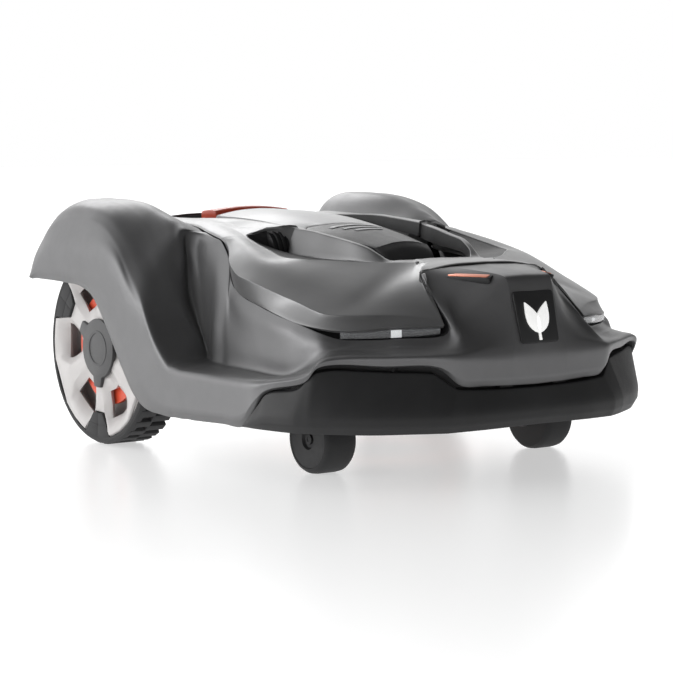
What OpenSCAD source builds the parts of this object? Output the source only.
// Robotic lawn mower: floating body shell, sealed chassis, driven rear wheels,
// front castors, height-adjusted cutting unit and an opening display hatch.
// Origin on the ground below the middle, +Z up, the nose points along -Y.

/* [Body shell] */
// Width of the body shell over its side faces
body_width = 560; // [556:1:570]
// Length from the bumper's nose to the rear panel
body_length = 720; // [716:1:730]
// Height of the wheel arches' crests above the ground
body_height = 310; // [309:1:316]
// Wall thickness of the moulded shells
shell_wall = 3; // [2:0.5:3.5]

/* [Drive wheels] */
// Diameter over the tread blocks
wheel_diameter = 245; // [243:1:246]
// Width of the tyre
wheel_width = 56; // [50:1:56]
// Distance from the middle of the mower to the wheel's outer face
wheel_outer_x = 269; // [267:1:269]
// Distance of the rear axle behind the middle
rear_axle_y = 186; // [184:1:188]
// Number of tread blocks round a tyre
tread_blocks = 38; // [30:2:40]
// Diameter of the drive axles
axle_diameter = 12; // [10:1:14]

/* [Castors] */
// Diameter of a castor wheel
castor_diameter = 82; // [78:1:82]
// Width of a castor wheel
castor_width = 40; // [34:1:40]
// Distance of a castor's swivel from the middle, sideways
castor_x = 165; // [163:1:168]
// Distance of a castor's swivel in front of the middle
castor_y = 195; // [193:1:198]
// How far the castor's axle trails behind its swivel
castor_trail = 29; // [26:1:30]

/* [Cutting unit] */
// Diameter of the cutting disc
disc_diameter = 216; // [200:2:220]
// Height of the disc at the highest cutting setting
cut_height = 60; // [58:1:62]
// Travel of the height adjustment
cut_travel = 40; // [30:5:40]
// Distance of the disc's centre in front of the middle
disc_y = 58; // [56:1:60]
// Number of pivoting blades
blade_count = 3; // [3:1:3]

/* [Hatch and controls] */
// Travel of the stop button
stop_travel = 5; // [3:0.5:5]
// Travel of a keypad key
key_travel = 0.9; // [0.6:0.1:1]
// Rise of the hatch's crown over its edges
hatch_crown = 8; // [5:1:9]

/* [Hidden] */
$fn = 64;
running_gap = 0.05;
wheel_radius = wheel_diameter / 2;
axle_radius = axle_diameter / 2;
gearbox_radius = 26;
castor_radius = castor_diameter / 2;
castor_pin = 5;
stem_radius = 8;
disc_radius = disc_diameter / 2;
unit_y = -disc_y;

// Heights of the chassis
deep_floor_z = 68;
deck_z = 95;
joint_z = 150;
seal_height = 3;
lid_top_z = 175;
tower_top_z = 250;
case_wall = 4;

// Raised part of the lid over the cutting unit
hump_half = 92;
hump_front = -112;
hump_rear = 46;
hump_top_z = 202;

// Plan of the chassis
deck_half = 195;
deck_front = -282;
deck_rear = 288;
deck_corner = 90;
deep_half = 150;
deep_front = 80;

// Cutting unit
neck_radius = 60;
neck_top_z = 116;
motor_radius = 36;
rod_x = 75;
rod_radius = 5;
rod_top_z = 190;
spindle_y = 20;
spindle_radius = 5;
arm_z = 160;
arm_height = 20;
flange_z = 84;
flange_radius = 50;
blade_pivot = 90;

// Hatch and tower
hinge_y = -105;
hinge_z = 236;
hinge_pin = 3;
ear_inner = 22;
ear_outer = 28;
stop_front = 228;
stop_rear = 268;
stop_half = 60;
stop_top_z = 292;
stop_base_z = 272;

// Collision sliders between the chassis and the shell
slider_y = -195;
slider_rod = 4;
rod_y_z = 186;
rod_x_z = 204;
post_radius = 6;

plastic_dark = [0.17, 0.17, 0.18];
plastic_black = [0.06, 0.06, 0.065];
shell_grey = [0.36, 0.36, 0.37];
hood_grey = [0.45, 0.45, 0.46];
steel = [0.7, 0.7, 0.72];

// ---- Helpers -------------------------------------------------------------

function unit(v) = v / norm(v);
function clamp(i, n) = max(0, min(n - 1, i));

// The inward direction of a net of points at row i, column j
function inward(net, i, j) =
    let (rows = len(net), columns = len(net[0]))
    let (along = net[clamp(i + 1, rows)][j] - net[clamp(i - 1, rows)][j])
    let (across = net[i][clamp(j + 1, columns)] - net[i][clamp(j - 1, columns)])
    unit(cross(along, across));

// A half net from the rear to the middle, completed by its mirror image
function both_sides(half) = concat(
    half,
    [for (i = [len(half) - 2:-1:0]) [for (p = half[i]) [-p.x, p.y, p.z]]]
);

// Fits a net drawn for the standard size to the body's own dimensions
function sized(net) = [for (row = net) [for (p = row)
    [p.x * body_width / 560, p.y * body_length / 720, p.z * body_height / 310]]];

// A moulded wall: the net is its outer face, and the wall grows inward
module moulding(net, wall) {
    rows = len(net);
    columns = len(net[0]);
    count = rows * columns;
    outer = [for (row = net) for (p = row) p];
    inner = [for (i = [0:rows - 1]) for (j = [0:columns - 1]) net[i][j] + wall * inward(net, i, j)];
    faces_out = [for (i = [0:rows - 2]) for (j = [0:columns - 2])
        let (a = i * columns + j)
        let (b = a + columns)
        each [[a, b + 1, a + 1], [a, b, b + 1]]];
    faces_in = [for (f = faces_out) [f[0] + count, f[2] + count, f[1] + count]];
    edge_low = [for (i = [0:rows - 2])
        let (a = i * columns)
        let (b = a + columns)
        each [[b, a, a + count], [b, a + count, b + count]]];
    edge_high = [for (i = [0:rows - 2])
        let (a = i * columns + columns - 1)
        let (b = a + columns)
        each [[a, b, b + count], [a, b + count, a + count]]];
    edge_first = [for (j = [0:columns - 2]) each [[j, j + 1, j + 1 + count], [j, j + 1 + count, j + count]]];
    last = (rows - 1) * columns;
    edge_last = [for (j = [0:columns - 2])
        let (a = last + j)
        each [[a + 1, a, a + count], [a + 1, a + count, a + 1 + count]]];
    polyhedron(
        points = concat(outer, inner),
        faces = concat(faces_out, faces_in, edge_low, edge_high, edge_first, edge_last)
    );
}

module block(low, high) {
    translate(low) cube(high - low);
}

module upright(x, y, z0, z1, r) {
    translate([x, y, z0]) cylinder(h = z1 - z0, r = r);
}

// A round bar along X from x0 to x1
module cross_bar(x0, x1, y, z, r) {
    translate([x0, y, z]) rotate([0, 90, 0]) cylinder(h = x1 - x0, r = r);
}

// A round bar along Y from y0 to y1
module long_bar(x, y0, y1, z, r) {
    translate([x, y0, z]) rotate([-90, 0, 0]) cylinder(h = y1 - y0, r = r);
}

module pair() {
    children();
    mirror([1, 0, 0]) children();
}

// Plan of the chassis, drawn in from its edge by inset
module deck_plan(inset) {
    half = deck_half - inset;
    front = deck_front + inset;
    rear = deck_rear - inset;
    polygon([
        [-half, rear], [-half, front + deck_corner], [-half + deck_corner, front],
        [half - deck_corner, front], [half, front + deck_corner], [half, rear]
    ]);
}

// Plan of the display tower, drawn in from its edge by inset
module tower_plan(inset) {
    polygon([
        [-34 + inset, -84 + inset], [34 - inset, -84 + inset], [50 - inset, -40],
        [62 - inset, 60], [64 - inset, 224 - inset], [-64 + inset, 224 - inset],
        [-62 + inset, 60], [-50 + inset, -40]
    ]);
}

// ---- Body shell ----------------------------------------------------------

// Rows run from the tail of the wheel arch forward round the corner to the
// middle of the nose. Each row climbs from the lower edge over the crease,
// the shoulder and the crest to the hood's edge, then tucks under the hood.
shell_half = [
    [[280,341,204],[279,344,205],[275,348,206],[262,351,208],[230,355,209],
     [212,356,209],[198,356,209],[184,356,209],[168,356,209],[160,353,206]],
    [[280,330,204],[279,332,217],[274,338,233],[262,341,239],[230,346,254],
     [212,348,260],[198,348,259],[184,346,252],[168,346,240],[160,342,236]],
    [[280,312,204],[278.5,317,232],[270,326,252],[258,328,263],[230,334,281],
     [212,337,286],[198,337,286],[184,335,276],[167,328,258],[160,324,254]],
    [[280,285,204],[278.5,290,246],[268,304,273],[256,306,286],[228,312,299],
     [210,316,302],[196,316,301],[180,314,292],[162,308,268],[158,306,264]],
    [[280,250,203],[278.5,254,250],[266,271,283],[254,273,297],[227,281,308],
     [208,285,309],[194,285,309],[178,283,300],[157,278,276],[148,278,271]],
    [[280,215,201],[278.5,218,250],[266,234,285],[254,237,299],[226,246,309],
     [206,250,310],[192,250,309],[176,249,301],[156,246,279],[147,246,274]],
    [[280,184,190],[278.5,186,250],[267,197,285],[255,199,297],[226,210,307],
     [206,216,309],[192,216,308],[175,215,300],[156,212,279],[147,212,273]],
    [[280,147,151],[278.5,150,246],[268,163,276],[256,165,288],[226,174,300],
     [206,180,305],[192,181,304],[176,181,296],[156,180,278],[147,180,273]],
    [[280,116,111],[278.5,118,232],[270,129,255],[258,131,267],[229,137,286],
     [210,142,294],[197,144,295],[181,144,290],[161,142,278],[150,142,272]],
    [[280,85,76],[279,88,200],[273,94,221],[261,97,236],[235,103,262],
     [218,106,276],[206,107,283],[191,107,283],[166,108,276],[155,108,271]],
    [[280,61,62],[279.5,62,170],[276,66,194],[264,68,206],[238,76,235],
     [225,80,251],[214,83,264],[203,85,275],[173,88,273],[162,88,268]],
    [[280,42,58],[280,42,140],[279,43,164],[264,43,167],[232,44,178],
     [219,62,214],[209,72,245],[199,84,272],[175,80,272],[164,80,267]],
    [[280,22,57],[280,22,105.6],[280,22,138],[262,20,141],[220,20,147],
     [210,56,188],[202,74,233],[195,83,270],[177,72,272],[166,72,266]],
    [[280,-2,56],[280,-2,93.8],[280,-2,119],[260,-1,122],[216,7,124],
     [211,19,149],[200,48,212],[188,72,264],[181,57,270],[170,57,264]],
    [[280,-14,57],[280,-14,93],[280,-14,117],[260,-13,120],[217,-2,122],
     [213,4,151],[202,25,212],[192,42,254],[186,36,267],[174,36,261]],
    [[280,-28,57],[280,-27.4,91.8],[280,-27,115],[261,-27,119],[221,-10,121],
     [217,-8,160],[207,0,210],[195,13,247],[189,18,264],[177,18,258]],
    [[280,-43,58],[280,-42.4,92.2],[280,-42,115],[262,-41,119],[222,-35,119],
     [218,-31,160],[210,-26,202],[201,-17,227],[195,-9,243],[184,-9,239]],
    [[280,-55,58],[280,-54.4,92.2],[280,-54,115],[263,-54,119],[225,-51,119],
     [221,-46,154],[214,-38,185],[209,-32,203],[203,-27,217],[192,-27,213]],
    [[280,-77,59],[280,-77,92.6],[280,-77,115],[264,-78,119],[227,-76,119],
     [225,-72,145],[221,-68,171],[218,-64,191],[212,-60,204],[201,-60,200]],
    [[280,-118,61],[280,-118,93.4],[280,-118,115],[265,-118,119],[229,-118,119],
     [229,-116,142],[228,-114,163],[226,-113,181],[221,-112,195],[209,-112,191]],
    [[280,-160,63],[280,-158.8,94.8],[280,-158,116],[265,-158,119],[230,-160,118],
     [231,-160,138],[231,-160,157],[231,-160,174],[226,-160,187],[214,-160,183]],
    [[278,-180,82],[278,-181.8,103],[278,-183,117],[262,-183,121],[230,-185,120],
     [231,-186,138],[231,-186,155],[230,-187,170],[225,-187,183],[213,-186,179]],
    [[272,-198,104],[270.8,-202.2,113],[270,-205,119],[256,-206,123],[228,-207,128],
     [228,-208,142],[228,-209,156],[226,-209,166],[221,-209,177],[210,-206,173]],
    [[250,-244,117],[250.6,-247.6,124.2],[251,-250,129],[243,-244,133],[226,-236,143],
     [223,-235,151],[222,-234,159],[220,-233,165],[215,-231,171],[206,-225,167]],
    [[243,-258,134],[243,-261,139.4],[243,-263,143],[235,-259,147],[218,-252,152],
     [213,-250,154],[210,-249,157],[208,-248,161],[204,-246,166],[197,-238,162]],
    [[226,-268,138],[226,-271.6,143.4],[226,-274,147],[220,-272,150],[204,-264,154],
     [200,-262,156],[196,-261,158],[193,-259,161],[189,-257,165],[184,-248,161]],
    [[180,-299,135],[180,-303.2,142.8],[180,-306,148],[176,-305,150],[164,-299,155],
     [160,-297,158],[157,-295,160],[154,-293,163],[151,-290,167],[148,-280,163]],
    [[131,-333,134],[131,-336.6,142.4],[131,-339,148],[128,-338,151],[116,-332,157],
     [112,-329,160],[109,-326,163],[106,-323,167],[103,-319,173],[104,-306,170]],
    [[107,-348,115],[107,-351,134.2],[107,-353,147],[105,-351,152],[101,-341,163],
     [100,-336,168],[99,-329,173],[98,-322,179],[97,-290,204],[104,-288,195]],
    [[75,-352,113],[73.8,-354.4,133.4],[73,-356,147],[73,-352,157],[78,-329,177],
     [80,-318,187],[81,-303,201],[82,-290,214],[91,-250,237],[97,-244,225]],
    [[40,-356,112],[40,-357.8,132.4],[40,-359,146],[38,-356,159],[34,-345,200],
     [33,-338,226],[34,-334,233],[35,-325,236],[50,-256,242],[50,-247,234]],
    [[0,-356,111],[0,-357.8,131.4],[0,-359,145],[0,-357,159],[0,-347,200],
     [0,-340,227],[0,-335,234],[0,-326,237],[0,-262,244],[0,-253,236]]
];

module body_shell() {
    color(shell_grey) moulding(sized(both_sides(shell_half)), shell_wall);
}

// Rows run from the tail forward to the middle; each climbs from the outer
// edge over the crease to the channel, its floor, the raised bar and the
// opening for the hatch.
hood_half = [
    [[158,315,266],[155,313,270],[138,314,274],[120,316,277],
     [112,316,277],[104,316,277],[96,316,277],[90,316,271]],
    [[156,297,273],[153,296,276],[137,291,280],[118,286,281],
     [108,286,280],[98,286,280],[86,286,280],[84,286,271]],
    [[154,261,279],[151,260,281],[136,253,285],[118,246,283],
     [108,246,282],[98,246,281],[84,246,281],[82,246,271]],
    [[153,193,280],[150,192,282],[140,186,284],[130,180,284],
     [125,176,284],[118,176,284],[96,176,284],[94,176,270]],
    [[163,115,277],[160,114,280],[151,110,282],[141,105,283],
     [131,102,283],[121,102,286],[107,102,286],[105,102,273]],
    [[177,66,272],[174,65,275],[162,61,277],[148,57,277],
     [132,54,278],[113,52,284],[104,52,284],[102,52,268]],
    [[186,22,266],[183,21,269],[173,15,270],[158,10,270],
     [134,0,278],[107,-12,281],[98,-12,280],[96,-12,262]],
    [[188,12,263],[186,10,266],[175,5,268],[160,1,268],
     [117,-15,249],[104,-19,278],[97,-19,278],[95,-19,260]],
    [[192,-5,248],[199,-14,255],[185,-20,262],[164,-25,262],
     [112,-42,246],[98,-42,276],[90,-42,276],[88,-42,257]],
    [[201,-23,224],[215,-40,242],[196,-50,254],[167,-58,255],
     [107,-66,245],[95,-62,273],[87,-62,273],[85,-62,254]],
    [[209,-46,208],[226,-72,230],[204,-82,245],[169,-88,249],
     [100,-92,244],[90,-86,269],[83,-86,269],[81,-86,252]],
    [[216,-82,200],[228,-104,224],[201,-110,239],[160,-112,248],
     [93,-116,243],[86,-116,264],[79,-116,264],[77,-116,249]],
    [[223,-124,194],[225,-142,215],[192,-144,231],[138,-134,247],
     [87,-138,243],[80,-134,259],[74,-132,259],[73,-132,246]],
    [[228,-162,188],[218,-182,205],[175,-177,224],[113,-158,245],
     [80,-154,243],[75,-148,252],[70,-146,252],[68,-145,240]],
    [[224,-204,180],[208,-226,193],[157,-210,217],[88,-178,244],
     [72,-168,243],[66,-160,245],[62,-156,245],[60,-153,238]],
    [[201,-248,175],[185,-249,192],[135,-228,215],[68,-192,244],
     [60,-178,244],[54,-168,245],[49,-162,245],[48,-159,238]],
    [[152,-287,180],[142,-278,192],[112,-246,216],[58,-203,244],
     [51,-184,244],[44,-171,245],[39,-164,245],[38,-161,238]],
    [[106,-315,181],[105,-308,188],[101,-268,218],[60,-210,244],
     [45,-186,245],[38,-172,245],[34,-165,245],[33,-161,238]],
    [[99,-288,206],[99,-286,208],[96,-257,230],[56,-214,245],
     [40,-188,246],[34,-172,246],[30,-165,245],[29,-161,238]],
    [[92,-253,236],[91,-251,237.5],[82,-240,241.5],[48,-215,246],
     [34,-190,246],[28,-173,246],[24,-165,245],[23,-162,238]],
    [[50,-254,243.5],[48,-252,245],[34,-236,247],[20,-215,247],
     [17,-192,247],[14,-174,246],[12,-165,246],[12,-162,238]],
    [[0,-260,246],[0,-258,247],[0,-238,248],[0,-216,248],
     [0,-192,247],[0,-174,246],[0,-165,246],[0,-162,238]]
];

module hood_cover() {
    color(hood_grey) moulding(sized(both_sides(hood_half)), shell_wall);
}

// Rows run from the slanted rear end to the middle of the front; each climbs
// from the lower edge over the bulge to the upper lip.
bumper_half = [
    [[280,-162,62],[280,-163,64],[279,-165,66],[277,-166,68]],
    [[279,-180,62],[280,-181,72],[277,-187,87],[274,-187,89]],
    [[275,-199,62],[276,-200,80],[271,-199,103],[268,-199,105]],
    [[263,-236,62],[263,-237,82],[255,-238,111],[252,-237,113]],
    [[252,-254,62],[252,-255,84],[243,-253,130],[240,-252,132]],
    [[234,-274,62],[234,-275,84],[226,-265,133],[223,-263,134]],
    [[200,-304,62],[199,-305,84],[188,-293,131],[186,-290,132]],
    [[150,-337,63],[149,-338,84],[133,-330,129],[131,-326,130]],
    [[125,-349,63],[124,-350,84],[110,-345,111],[109,-341,112]],
    [[75,-357,64],[75,-358,84],[70,-351,109],[70,-347,110]],
    [[0,-359,65],[0,-360,84],[0,-354,108],[0,-350,109]]
];

module front_bumper() {
    color(plastic_black) moulding(sized(both_sides(bumper_half)), shell_wall);
}

// Columns run across the tail, each from the lower edge up to the top strip.
function tail_column(x, y_low, drop) = [
    [x, y_low - 5, 150], [x, y_low, 205], [x, y_low - 9, 240 - drop / 2], [x, y_low - 26, 264 - drop],
    [x, y_low - 38, 284 - drop * 1.2], [x, y_low - 46, 285 - drop * 1.2]
];
tail_net = [for (s = [-3:3])
    let (x = s * 52)
    tail_column(x, 360 - 0.6 * s * s, 1.1 * s * s)
];

module rear_panel() {
    color(plastic_dark) moulding(sized(tail_net), shell_wall);
}

// Plate on the slanted front of the nose: top and bottom edge of its face
badge_top = [0, -341.5, 222];
badge_bottom = [0, -358, 160];
badge_tilt = atan2(badge_top.y - badge_bottom.y, badge_top.z - badge_bottom.z);
badge_length = norm(badge_top - badge_bottom);

// Puts its children on the badge's face, whose own Z axis points forward
module on_badge(lift) {
    translate(badge_bottom) rotate([90 - badge_tilt, 0, 0]) translate([0, 0, lift]) children();
}

module badge_plate() {
    color(plastic_dark) on_badge(-1) linear_extrude(2)
        polygon([[-27, 0], [27, 0], [30, badge_length], [-30, badge_length]]);
}

// A plain two-leaf sprig: each leaf is the lens between two circles
module leaf(length, width) {
    bow = (length * length / 4 + width * width / 4) / width;
    linear_extrude(2) intersection() {
        translate([bow - width / 2, length / 2]) circle(r = bow);
        translate([width / 2 - bow, length / 2]) circle(r = bow);
    }
}

module badge_emblem() {
    color("white") on_badge(1) translate([0, 8, 0]) {
        rotate([0, 0, 24]) leaf(44, 17);
        rotate([0, 0, -24]) leaf(44, 17);
    }
}

// Light band in the slot below the hood's lip, from its tip to its inner end
module light_band(depth, height) {
    hull() {
        translate([199, -247 + depth, 167]) sphere(r = 1.2, $fn = 16);
        translate([196, -247 + depth, 171]) sphere(r = 1.2, $fn = 16);
        translate([151, -282 + depth, 168 + 1]) sphere(r = 1.2, $fn = 16);
        translate([150, -281 + depth, 168 + height]) sphere(r = 1.2, $fn = 16);
        translate([108, -309 + depth, 175]) sphere(r = 1.2, $fn = 16);
        translate([108, -307 + depth, 175 + height]) sphere(r = 1.2, $fn = 16);
    }
}

module headlight_lenses() {
    color([0.8, 0.85, 0.9]) pair() light_band(4, 9);
}

module headlight_housings() {
    color(plastic_black) pair() light_band(12, 9);
}

// Contact strips lie in slots on the nose's upper flanks
plate_rear = [66, -272, 231];
plate_front = [44, -320, 231];

module charging_strip(thick, width, sink) {
    hull() {
        translate(plate_rear + [0, 0, sink]) cylinder(h = thick, r = width / 2, $fn = 24);
        translate(plate_front + [0, 0, sink]) cylinder(h = thick, r = width / 2, $fn = 24);
    }
}

module charging_plates() {
    color([0.7, 0.38, 0.28]) pair() charging_strip(1, 7, 1);
}

module charging_holders() {
    color(plastic_black) pair() charging_strip(4.5, 10, -3.5);
}

// Ribbed black insert that closes the rear end of each channel
module intake_inserts() {
    color(plastic_black) pair() {
        block([112, 30, 252], [132, 44, 262]);
        for (i = [0:3]) block([110 + 6 * i, 22, 250], [113 + 6 * i, 30.5, 266 + i]);
    }
}

// Carrier under the hood: its post rides in the collision slider
module shell_frame() {
    color(plastic_black) {
        upright(0, slider_y, 197, 224, post_radius);
        block([-40, -232, 224], [40, -186, 228]);
        for (x = [-30, 30]) upright(x, -222, 228, 244, 5);
        for (x = [-20, 20]) upright(x, -196, 228, 245, 5);
    }
}

// Tabs that hold the bumper to the shell's lower edge
module bumper_brackets() {
    color(plastic_black) pair() {
        block([160, -300, 110], [168, -286, 150]);
        block([262, -222, 84], [268, -212, 118]);
        block([30, -350, 96], [50, -343, 138]);
    }
}

// ---- Chassis -------------------------------------------------------------

module motor_axis(side) {
    translate([0, rear_axle_y, wheel_radius]) rotate([0, side * 90, 0]) children();
}

module chassis_lower() {
    color(plastic_dark) difference() {
        union() {
            difference() {
                union() {
                    translate([0, 0, deck_z]) linear_extrude(joint_z - deck_z) deck_plan(0);
                    block([-deep_half, deep_front, deep_floor_z], [deep_half, deck_rear, deck_z + 1]);
                }
                translate([0, 0, deck_z + case_wall]) linear_extrude(joint_z) deck_plan(case_wall);
                block(
                    [-deep_half + case_wall, deep_front + case_wall, deep_floor_z + case_wall],
                    [deep_half - case_wall, deck_rear - case_wall, joint_z]
                );
            }
            upright(0, unit_y, deck_z, neck_top_z, neck_radius + case_wall);
            for (x = [-castor_x, castor_x]) upright(x, -castor_y, deck_z, joint_z - 8, 15);
        }
        upright(0, unit_y, deck_z - 1, neck_top_z - case_wall, neck_radius);
        upright(0, unit_y, deck_z - 1, neck_top_z + 1, motor_radius + 9);
        for (x = [-castor_x, castor_x])
            upright(x, -castor_y, deck_z - 1, joint_z, stem_radius + running_gap);
        for (side = [-1, 1]) motor_axis(side) cylinder(h = deck_half + 1, r = gearbox_radius + 0.3);
        block([-47, 178, deep_floor_z - 1], [47, 277, deep_floor_z + case_wall + 1]);
    }
}

module chassis_seal() {
    color("black") translate([0, 0, joint_z]) linear_extrude(seal_height) difference() {
        deck_plan(0.5);
        deck_plan(case_wall - 0.5);
    }
}

module chassis_upper() {
    lid_z = joint_z + seal_height;
    color(plastic_black) difference() {
        union() {
            translate([0, 0, lid_z]) linear_extrude(lid_top_z - lid_z) deck_plan(0);
            translate([0, 0, lid_top_z - 1]) linear_extrude(tower_top_z - lid_top_z + 1) tower_plan(0);
            block([-70, 226, lid_top_z - 1], [70, 272, stop_base_z]);
            block([-hump_half, hump_front, lid_top_z - 1], [hump_half, hump_rear, hump_top_z]);
            for (s = [-1, 1]) translate([s * (ear_inner + ear_outer) / 2, 0, 0])
                block([-3, hinge_y - 7, hinge_z - 7], [3, -80, hinge_z + 7]);
        }
        translate([0, 0, lid_z - 1]) linear_extrude(lid_top_z - lid_z + 1 - case_wall) deck_plan(case_wall);
        translate([0, 0, lid_z - 1]) linear_extrude(tower_top_z - lid_z + 1 - case_wall) tower_plan(case_wall);
        block([-66, 230, lid_z - 1], [66, 268, stop_base_z - case_wall - 8]);
        block(
            [-hump_half + case_wall, hump_front + case_wall, lid_z - 1],
            [hump_half - case_wall, hump_rear - case_wall, hump_top_z - case_wall]
        );
        upright(0, 248, lid_z, stop_base_z + 1, stem_radius + running_gap);
        cross_bar(-40, 40, hinge_y, hinge_z, hinge_pin + running_gap);
    }
}

module battery_pack() {
    color([0.2, 0.22, 0.3]) {
        block([-44, 181, 73], [44, 274, 138]);
        block([-12, 170, 96], [12, 181, 116]);
    }
}

module battery_cover() {
    color(plastic_black) difference() {
        union() {
            block([-56, 170, deep_floor_z - 4], [56, 284, deep_floor_z]);
            block([-46.5, 178.5, deep_floor_z], [46.5, 276.5, deep_floor_z + 4]);
        }
        for (x = [-51, 51]) for (y = [176, 279]) upright(x, y, deep_floor_z - 5, deep_floor_z + 1, 2);
    }
}

module main_board() {
    color([0.1, 0.35, 0.2]) {
        block([-70, 88, 126], [70, 164, 128]);
        for (x = [-60, 60]) for (y = [94, 158]) upright(x, y, deep_floor_z + case_wall, 126, 3);
        block([-20, 110, 128], [0, 130, 133]);
        block([20, 100, 128], [48, 116, 140]);
        for (x = [-52, -38]) upright(x, 148, 128, 146, 5);
    }
}

// Gear motor with its axle, for the side that the sign points to
module wheel_motor(side) {
    color(steel) motor_axis(side) difference() {
        union() {
            translate([0, 0, 96]) cylinder(h = 66, r = 24);
            translate([0, 0, 162]) cylinder(h = 40, r = gearbox_radius);
            translate([0, 0, 202]) cylinder(h = 54, r = axle_radius);
        }
        translate([0, 0, 240]) cylinder(h = 17, r = 2.5);
    }
}

module display_panel() {
    color([0.12, 0.14, 0.13]) difference() {
        block([-36, -42, tower_top_z], [36, 18, tower_top_z + 3]);
        block([-31, -36, tower_top_z + 1], [31, 12, tower_top_z + 4]);
    }
}

module display_lens() {
    color([0.5, 0.6, 0.5]) block([-31, -36, tower_top_z + 1], [31, 12, tower_top_z + 3.6]);
}

key_radius = 7;
key_places = [[-22, 52], [22, 52]];

module keypad_frame() {
    color(plastic_dark) difference() {
        block([-44, 30, tower_top_z], [44, 150, tower_top_z + 3]);
        for (p = key_places) upright(p.x, p.y, tower_top_z - 1, tower_top_z + 4, key_radius + 0.3);
    }
    color("silver") for (row = [0:2]) for (column = [-1:1])
        block(
            [column * 24 - 8, 76 + row * 22, tower_top_z + 3],
            [column * 24 + 8, 88 + row * 22, tower_top_z + 4.2]
        );
}

module key_cap(place) {
    color("silver") {
        upright(place.x, place.y, tower_top_z + key_travel + 0.3, tower_top_z + 4.5, key_radius);
        upright(place.x, place.y, tower_top_z + 4.4, tower_top_z + 5.2, key_radius - 1.5);
    }
}

// Carrying handle: a bar on two arms behind the chassis
module rear_handle() {
    color(plastic_black) {
        long_bar(-70, deck_rear, 318, 108, 9);
        long_bar(70, deck_rear, 318, 108, 9);
        cross_bar(-79, 79, 322, 108, 9);
    }
}

module chassis_screws() {
    color(steel) {
        for (x = [-185, 185]) for (y = [-120, -20, 40]) upright(x, y, deck_z - 3, deck_z, 4.5);
        for (x = [-90, 90]) upright(x, deck_front + 13, deck_z - 3, deck_z, 4.5);
        for (x = [-140, 140]) for (y = [100, 270]) upright(x, y, deep_floor_z - 3, deep_floor_z, 4.5);
        for (x = [-51, 51]) for (y = [176, 279]) {
            upright(x, y, deep_floor_z - 7, deep_floor_z - 4, 4);
            upright(x, y, deep_floor_z - 4, deep_floor_z, 1.95);
        }
    }
}

// Pick-up coils for the boundary wire
module loop_sensors() {
    color([0.6, 0.35, 0.2]) for (x = [-90, 90]) difference() {
        upright(x, deck_front + 32, deck_z + case_wall, deck_z + case_wall + 18, 14);
        upright(x, deck_front + 32, deck_z, deck_z + 40, 6);
    }
}

// Two upright rods and the bridge over them guide the cutting unit
module guide_rods() {
    color(steel) difference() {
        union() {
            for (x = [-rod_x, rod_x]) upright(x, unit_y, deck_z + case_wall, rod_top_z, rod_radius);
            block([-rod_x - 8, unit_y - 8, rod_top_z], [rod_x + 8, unit_y + 8, rod_top_z + 5]);
            block([-12, unit_y, rod_top_z], [12, spindle_y + 14, rod_top_z + 5]);
        }
        upright(0, spindle_y, rod_top_z - 1, rod_top_z + 6, spindle_radius + running_gap);
    }
}

module height_motor() {
    color(plastic_dark) {
        block([-14, spindle_y - 14, rod_top_z + 12], [14, spindle_y + 14, rod_top_z + 34]);
        for (x = [-12, 9]) block([x, spindle_y - 13, rod_top_z + 5], [x + 3, spindle_y + 13, rod_top_z + 12]);
    }
}

// Rods on the lid along which the collision slider runs fore and aft
module slider_rails() {
    color(steel) for (x = [-30, 30]) {
        long_bar(x, -224, -166, rod_y_z, slider_rod);
        block([x - 6, -228, lid_top_z], [x + 6, -222, rod_y_z + 6]);
        block([x - 6, -168, lid_top_z], [x + 6, -162, rod_y_z + 6]);
    }
}

// ---- Floating suspension of the shell --------------------------------------

module bump_carriage() {
    color("orange") difference() {
        union() {
            block([-40, -208, rod_y_z - 8], [40, -182, rod_y_z + 8]);
            for (x = [-40, 36]) block([x, -208, rod_y_z], [x + 4, -182, rod_x_z + 6]);
            for (y = [-204, -186]) cross_bar(-37, 37, y, rod_x_z, 2.5);
        }
        for (x = [-30, 30]) long_bar(x, -230, -160, rod_y_z, slider_rod + running_gap);
    }
}

module side_carriage() {
    color("gold") difference() {
        block([-20, -209, rod_x_z - 8], [20, -181, rod_x_z + 8]);
        for (y = [-204, -186]) cross_bar(-30, 30, y, rod_x_z, 2.5 + running_gap);
        upright(0, slider_y, rod_x_z - 9, rod_x_z + 9, post_radius + running_gap);
    }
}

// ---- Drive wheels -----------------------------------------------------------

// Places children on the axle, with their own Z axis pointing outward;
// height 0 is the tyre's inner face
module at_wheel(side) {
    motor_axis(side) translate([0, 0, wheel_outer_x - wheel_width]) children();
}

module tube(h, outer, inner) {
    difference() {
        cylinder(h = h, r = outer);
        translate([0, 0, -1]) cylinder(h = h + 2, r = inner);
    }
}

tread_radius = wheel_radius - 6;
seat_radius = 103;
block_angle = 360 / tread_blocks;
block_length = 12;

module tyre(side) {
    color([0.09, 0.09, 0.09]) at_wheel(side) {
        difference() {
            cylinder(h = wheel_width - 2, r = tread_radius);
            translate([0, 0, -1]) cylinder(h = wheel_width + 2, r = seat_radius);
            translate([0, 0, wheel_width - 9]) cylinder(h = 10, r = 112);
        }
        for (i = [0:tread_blocks - 1]) rotate([0, 0, i * block_angle])
            translate([tread_radius - 2, -block_length / 2, i % 2 == 0 ? 0 : 4])
            cube([8, block_length, wheel_width - 4]);
    }
}

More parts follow.
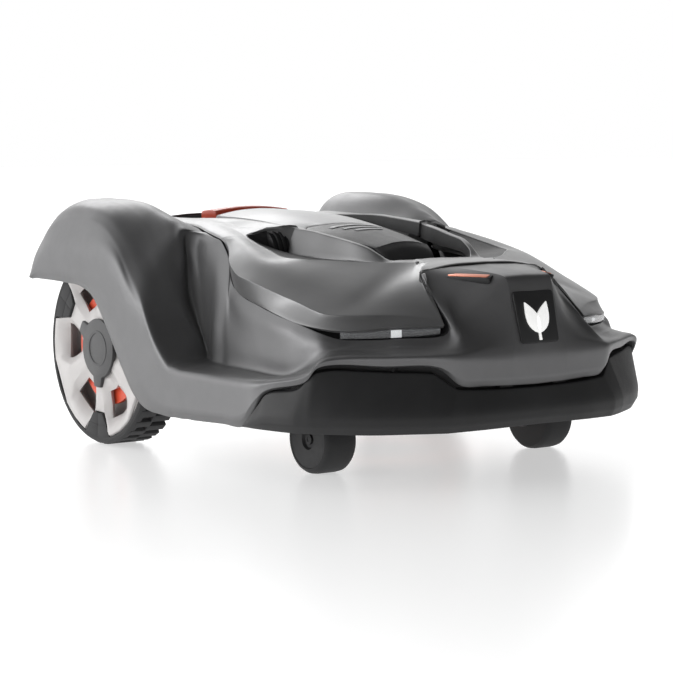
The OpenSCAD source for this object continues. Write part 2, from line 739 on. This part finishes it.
// Six-spoke rim: a barrel, a face ring, spokes and a hub bored for the axle
module rim(side) {
    face = wheel_width - 9;
    color([0.86, 0.85, 0.84]) at_wheel(side) difference() {
        union() {
            tube(face, seat_radius, seat_radius - 5);
            translate([0, 0, face]) tube(6, 112, 90);
            cylinder(h = face, r = 26);
            for (i = [0:5]) rotate([0, 0, 60 * i + 30]) translate([20, -11, face - 8]) cube([80.5, 22, 12]);
        }
        translate([0, 0, -1]) cylinder(h = wheel_width, r = axle_radius + running_gap);
    }
}

module hub_disc(side) {
    color([0.86, 0.35, 0.25]) at_wheel(side) translate([0, 0, wheel_width - 24])
        tube(5, 72, 26);
}

module wheel_cap(side) {
    face = wheel_width - 9;
    color(plastic_dark) at_wheel(side) {
        translate([0, 0, face + 4]) cylinder(h = 5, r1 = 38, r2 = 36);
        for (i = [0:2]) rotate([0, 0, 120 * i + 30]) translate([30, -9, face + 4]) cube([20, 18, 4]);
    }
}

// ---- Castors ----------------------------------------------------------------

// Swivel frame: stem, top plate, side arm and axle pin
module castor_fork(side) {
    arm_outer = side * (castor_x - castor_width / 2 - 2);
    arm_inner = side * (castor_x - castor_width / 2 - 8);
    left = min(arm_outer, arm_inner);
    axle_y = -castor_y + castor_trail;
    color(plastic_dark) {
        upright(side * castor_x, -castor_y, 86, joint_z - 2, stem_radius);
        upright(side * castor_x, -castor_y, joint_z - 8 + 0.4, joint_z - 4, stem_radius + 3);
        upright(side * castor_x, -castor_y, 85, 92, 16);
        block([min(left, side * castor_x), -castor_y - 14, 85], [max(left + 6, side * castor_x), axle_y + 12, 92]);
        block([left, -castor_y - 14, 70], [left + 6, axle_y + 12, 86]);
        hull() {
            cross_bar(left, left + 6, axle_y, castor_radius, 12, $fn = 32);
            block([left, axle_y - 20, 70], [left + 6, axle_y + 12, 72]);
        }
        cross_bar(
            min(left + 3, side * castor_x + side * castor_width / 2 - side),
            max(left + 3, side * castor_x + side * castor_width / 2 - side),
            axle_y, castor_radius, castor_pin
        );
    }
}

module castor_wheel(side) {
    axle_y = -castor_y + castor_trail;
    width = castor_width - 2;
    color([0.1, 0.1, 0.1])
        translate([side * castor_x, axle_y, castor_radius]) rotate([0, side * 90, 0]) difference() {
            union() {
                translate([0, 0, -width / 2]) cylinder(h = 3, r1 = castor_radius - 3, r2 = castor_radius);
                translate([0, 0, 3 - width / 2]) cylinder(h = width - 6, r = castor_radius);
                translate([0, 0, width / 2 - 3]) cylinder(h = 3, r1 = castor_radius, r2 = castor_radius - 3);
            }
            translate([0, 0, -castor_width]) cylinder(h = 2 * castor_width, r = castor_pin + running_gap);
            translate([0, 0, width / 2 - 2]) tube(5, castor_radius - 8, 12);
        }
}

// ---- Cutting unit -------------------------------------------------------------

// Carriage on the guide rods, with the nut for the height spindle
module cutting_carriage() {
    color("steelblue") difference() {
        union() {
            block([-rod_x - 9, unit_y - 9, arm_z], [rod_x + 9, unit_y + 9, arm_z + arm_height]);
            upright(0, unit_y, arm_z, arm_z + arm_height, motor_radius + 5);
            block([-9, unit_y, arm_z], [9, spindle_y + 9, arm_z + arm_height]);
        }
        upright(0, unit_y, arm_z - 1, arm_z + arm_height + 1, motor_radius);
        for (x = [-rod_x, rod_x])
            upright(x, unit_y, arm_z - 1, arm_z + arm_height + 1, rod_radius + running_gap);
        upright(0, spindle_y, arm_z - 1, arm_z + arm_height + 1, spindle_radius + running_gap);
    }
}

module cutting_motor() {
    color(steel) {
        upright(0, unit_y, flange_z + 4, arm_z + arm_height + 4, motor_radius);
        upright(0, unit_y, flange_z, flange_z + 4, flange_radius);
        upright(0, unit_y, cut_height + 4.4, flange_z, 9);
        upright(0, unit_y, cut_height - 13.5, cut_height + 5, 5);
    }
}

module cutting_disc() {
    color([0.8, 0.4, 0.2]) difference() {
        union() {
            upright(0, unit_y, cut_height, cut_height + 3, disc_radius);
            upright(0, unit_y, cut_height - 3, cut_height, 20);
            for (i = [0:blade_count - 1]) rotate_unit(i) {
                upright(0, blade_pivot, cut_height - 3.2, cut_height + 1, 3);
                upright(0, blade_pivot, cut_height - 3.2, cut_height - 2.2, 4.5);
            }
        }
        upright(0, unit_y, cut_height - 4, cut_height + 4, 5 + running_gap);
        for (i = [0:blade_count - 1]) rotate_unit(i + 0.5) upright(0, 60, cut_height - 1, cut_height + 4, 14);
    }
}

// Turns children about the disc's axis, one blade's place at a time
module rotate_unit(index) {
    translate([0, unit_y, 0]) rotate([0, 0, index * 360 / blade_count]) children();
}

module blade(index) {
    color(steel) rotate_unit(index) translate([0, blade_pivot, cut_height - 1.6]) difference() {
        linear_extrude(0.8) polygon([[-9, -6], [9, -6], [9, 27], [6, 30], [-6, 30], [-9, 27]]);
        translate([0, 0, -1]) cylinder(h = 3, r = 3 + running_gap);
    }
}

module skid_plate() {
    color(plastic_dark) difference() {
        union() {
            upright(0, unit_y, cut_height - 12, cut_height - 9, 78);
            upright(0, unit_y, cut_height - 9, cut_height - 4, 16);
        }
        upright(0, unit_y, cut_height - 13, cut_height - 3, 5 + running_gap);
    }
}

module height_spindle() {
    color(steel) {
        upright(0, spindle_y, neck_top_z + 1, rod_top_z + 9, spindle_radius);
        upright(0, spindle_y, neck_top_z + 1, neck_top_z + 3.5, spindle_radius + 2);
    }
}

// Folded rubber sleeve between the chassis neck and the motor's flange
module cutting_bellows() {
    top = neck_top_z - case_wall - 0.2;
    bottom = flange_z + 4.2;
    folds = 4;
    pitch = (top - bottom) / folds;
    outline = concat(
        [for (i = [0:2 * folds]) [i % 2 == 0 ? 50 : 55, bottom + i * pitch / 2]],
        [for (i = [2 * folds:-1:0]) [i % 2 == 0 ? 48.5 : 53.5, bottom + i * pitch / 2]]
    );
    color("black") translate([0, unit_y, 0]) rotate_extrude() polygon(outline);
}

// ---- Hatch and stop button ------------------------------------------------------

// One row across the hatch: skirt, crowned face, skirt
function hatch_row(y, half, edge_z, skirt) = concat(
    [[half, y, edge_z - skirt]],
    [for (s = [5:-1:-5])
        let (u = s / 5)
        [half * u, y, edge_z + hatch_crown * (1 - u * u)]],
    [[-half, y, edge_z - skirt]]
);

hatch_rear_rows = [
    hatch_row(225, 62, 284, 8), hatch_row(190, 71, 285, 8), hatch_row(150, 76, 285, 8),
    hatch_row(80, 70, 280, 8), hatch_row(17, 62, 273, 8)
];
hatch_front_rows = [
    hatch_row(15.5, 62, 272.7, 8), hatch_row(-40, 52, 266, 8),
    hatch_row(-100, 41, 256, 8), hatch_row(-112, 40, 251, 6), hatch_row(-125, 39, 241, 3)
];

module hatch_cover() {
    color([0.72, 0.72, 0.73]) moulding(hatch_rear_rows, 2.5);
}

module hatch_front() {
    color([0.3, 0.3, 0.31]) moulding(hatch_front_rows, 2.5);
}

// Frame under the hatch with its hinge arm and pin
module hatch_liner() {
    color(plastic_black) {
        cross_bar(-ear_outer, ear_outer, hinge_y, hinge_z, hinge_pin);
        cross_bar(-ear_inner + 1, ear_inner - 1, hinge_y, hinge_z, 6);
        block([-20, hinge_y - 4, hinge_z], [20, hinge_y + 4, 254]);
        block([-20, hinge_y, 253], [20, -80, 257]);
        for (x = [-20, 14]) block([x, -82, 254], [x + 6, 20, 258]);
        for (x = [-20, 14]) block([x, 14, 258], [x + 6, 20, 274]);
        for (x = [-20, 14]) block([x, 14, 274], [x + 6, 200, 277]);
        for (x = [-17, 17]) for (y = [60, 190]) upright(x, y, 277, 284, 3);
        for (x = [-17, 17]) upright(x, -60, 258, 268, 3);
    }
}

module stop_button() {
    color([0.9, 0.33, 0.22]) {
        upright(0, 248, 256, stop_top_z - 12, stem_radius);
        block([-stop_half, stop_front, stop_base_z + 6], [stop_half, stop_rear, stop_top_z - 4]);
        difference() {
            block([-stop_half, stop_front, stop_top_z - 4], [stop_half, stop_rear, stop_top_z]);
            for (s = [-1, 1]) translate([s * stop_half, 0, stop_top_z]) rotate([0, s * 20, 0])
                block([-20, stop_front - 1, 0], [20, stop_rear + 1, 9]);
        }
    }
}

module main_switch() {
    color([0.8, 0.1, 0.1]) {
        upright(0, -62, tower_top_z + 0.3, tower_top_z + 2.5, 8);
        block([-6, -64, tower_top_z + 2], [6, -60, tower_top_z + 3.6]);
    }
}

// ---- Assembly ---------------------------------------------------------------------

body_shell();
hood_cover();
front_bumper();
rear_panel();
badge_plate();
badge_emblem();
headlight_lenses();
headlight_housings();
charging_plates();
charging_holders();
intake_inserts();
shell_frame();
bumper_brackets();
chassis_lower();
chassis_upper();
chassis_seal();
battery_pack();
battery_cover();
main_board();
wheel_motor(1);  // wheel_motor_left
wheel_motor(-1);  // wheel_motor_right
display_panel();
display_lens();
keypad_frame();
rear_handle();
chassis_screws();
loop_sensors();
guide_rods();
height_motor();
slider_rails();
bump_carriage();
side_carriage();
tyre(1);  // tyre_left
tyre(-1);  // tyre_right
rim(1);  // rim_left
rim(-1);  // rim_right
hub_disc(1);  // hub_disc_left
hub_disc(-1);  // hub_disc_right
wheel_cap(1);  // wheel_cap_left
wheel_cap(-1);  // wheel_cap_right
castor_fork(1);  // castor_fork_left
castor_fork(-1);  // castor_fork_right
castor_wheel(1);  // castor_wheel_left
castor_wheel(-1);  // castor_wheel_right
cutting_carriage();
cutting_motor();
cutting_disc();
blade(0);  // blade_1
blade(1);  // blade_2
blade(2);  // blade_3
skid_plate();
height_spindle();
cutting_bellows();
hatch_cover();
hatch_front();
hatch_liner();
stop_button();
main_switch();
key_cap(key_places[0]);  // key_start
key_cap(key_places[1]);  // key_park
